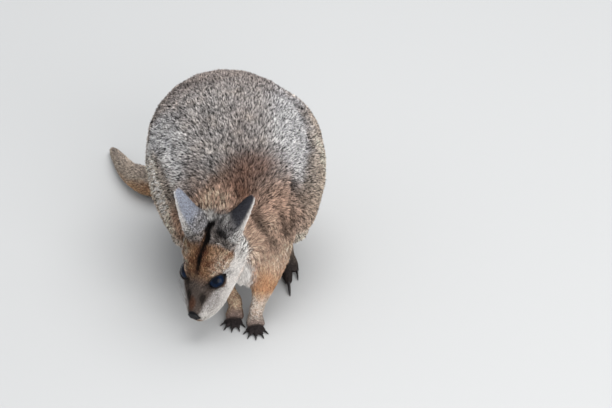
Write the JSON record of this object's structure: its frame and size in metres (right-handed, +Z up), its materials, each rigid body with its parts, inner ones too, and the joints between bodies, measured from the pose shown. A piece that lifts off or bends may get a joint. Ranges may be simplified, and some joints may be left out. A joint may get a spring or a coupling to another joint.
{
  "type": "crouching wallaby figure",
  "caption": "Still, life-size small grey wallaby crouched on all fours, back arched, head lowered and turned to its right, ears laid back, tail swept round to one side.",
  "frame": {"origin": "centre of the figure's box, on the floor it stands on", "axes": "-Y is the way the body faces, +X is the animal's left, +Z is up; the tail runs back along +Y"},
  "size_m": [0.25, 0.4106, 0.2202],
  "materials": {
    "coat_grey": "dense short fur, grizzled grey-brown with fine black and white flecks",
    "coat_rufous": "dense short fur, speckled reddish brown fading to cream at the wrists",
    "coat_face": "very short fur, dark mid stripe, pale cheek stripe",
    "ear": "thin velvety fur with a pale rim",
    "paw": "very short fur over dark skin",
    "nose_leather": "damp black pebbled skin",
    "eye": "wet, very dark brown",
    "claw": "dark horn"
  },
  "bodies": {
    "root": {"claw_fifth_left": "claw", "claw_fifth_right": "claw", "claw_fore_left_1": "claw", "claw_fore_left_2": "claw", "claw_fore_left_3": "claw", "claw_fore_left_4": "claw", "claw_fore_left_5": "claw", "claw_fore_right_1": "claw", "claw_fore_right_2": "claw", "claw_fore_right_3": "claw", "claw_fore_right_4": "claw", "claw_fore_right_5": "claw", "claw_fourth_left": "claw", "claw_fourth_right": "claw", "ear_left": "ear", "ear_right": "ear", "eye_left": "eye", "eye_right": "eye", "foot_left": "paw", "foot_right": "paw", "forearm_left": "coat_rufous", "forearm_right": "coat_rufous", "forepaw_left": "paw", "forepaw_right": "paw", "head": "coat_face", "neck": "coat_rufous", "nose": "nose_leather", "shank_left": "coat_grey", "shank_right": "coat_grey", "tail_middle": "coat_grey", "tail_root": "coat_grey", "tail_tip": "coat_grey", "thigh_left": "coat_grey", "thigh_right": "coat_grey", "trunk": "coat_grey", "upper_arm_left": "coat_rufous", "upper_arm_right": "coat_rufous"}
  },
  "joints": []
}
